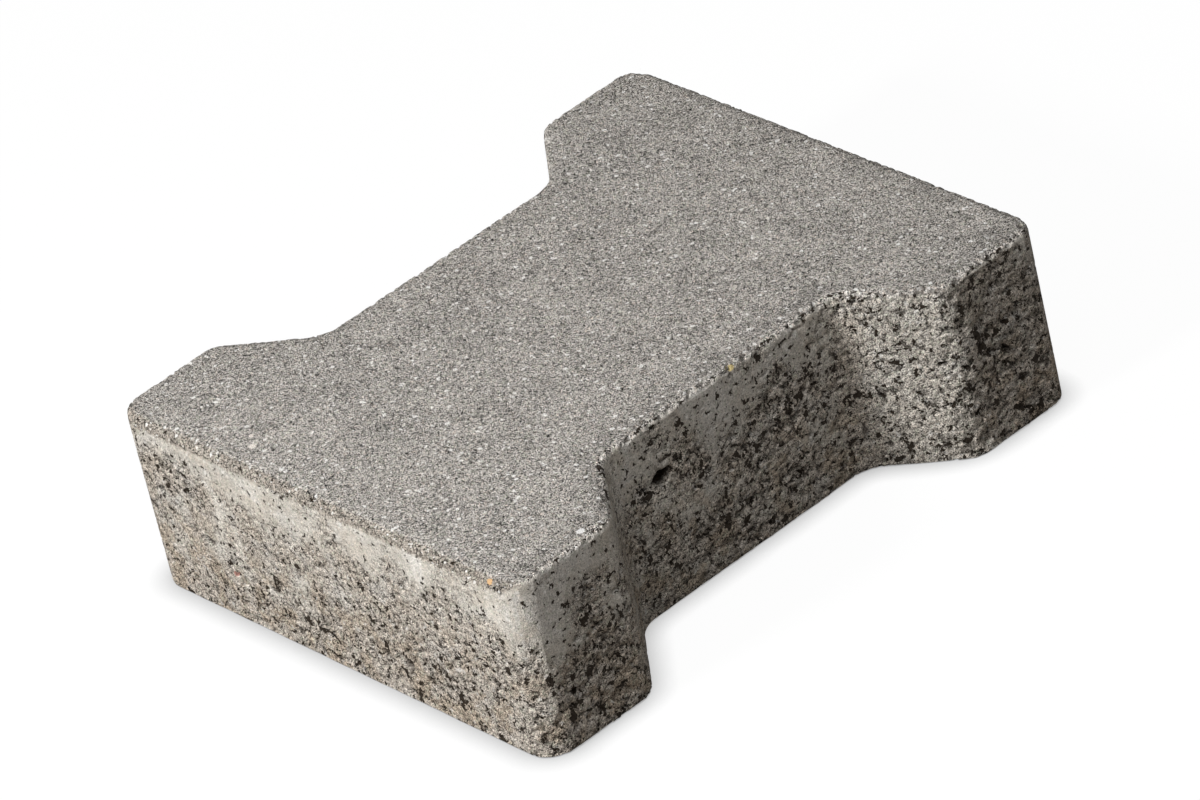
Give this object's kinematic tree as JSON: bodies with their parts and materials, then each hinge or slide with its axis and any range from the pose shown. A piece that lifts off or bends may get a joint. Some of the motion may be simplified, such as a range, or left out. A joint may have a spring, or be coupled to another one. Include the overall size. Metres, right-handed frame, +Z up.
{
  "type": "interlocking concrete paving stone",
  "caption": "H-shaped interlocking concrete paver: two wide heads, a narrower waist whose recesses hold the neighbouring stones' heads",
  "frame": {"origin": "centre of the base face, on the ground", "axes": "+X along the 200 mm length, +Y across the heads, +Z up out of the tread face"},
  "size_m": [0.2, 0.165, 0.057],
  "materials": {
    "pressed_concrete": "grey pressed concrete, fine sandy grain on top, smoother cement paste high on the sides, open pores low down"
  },
  "bodies": {
    "root": {"paving_stone": "pressed_concrete"}
  },
  "joints": []
}
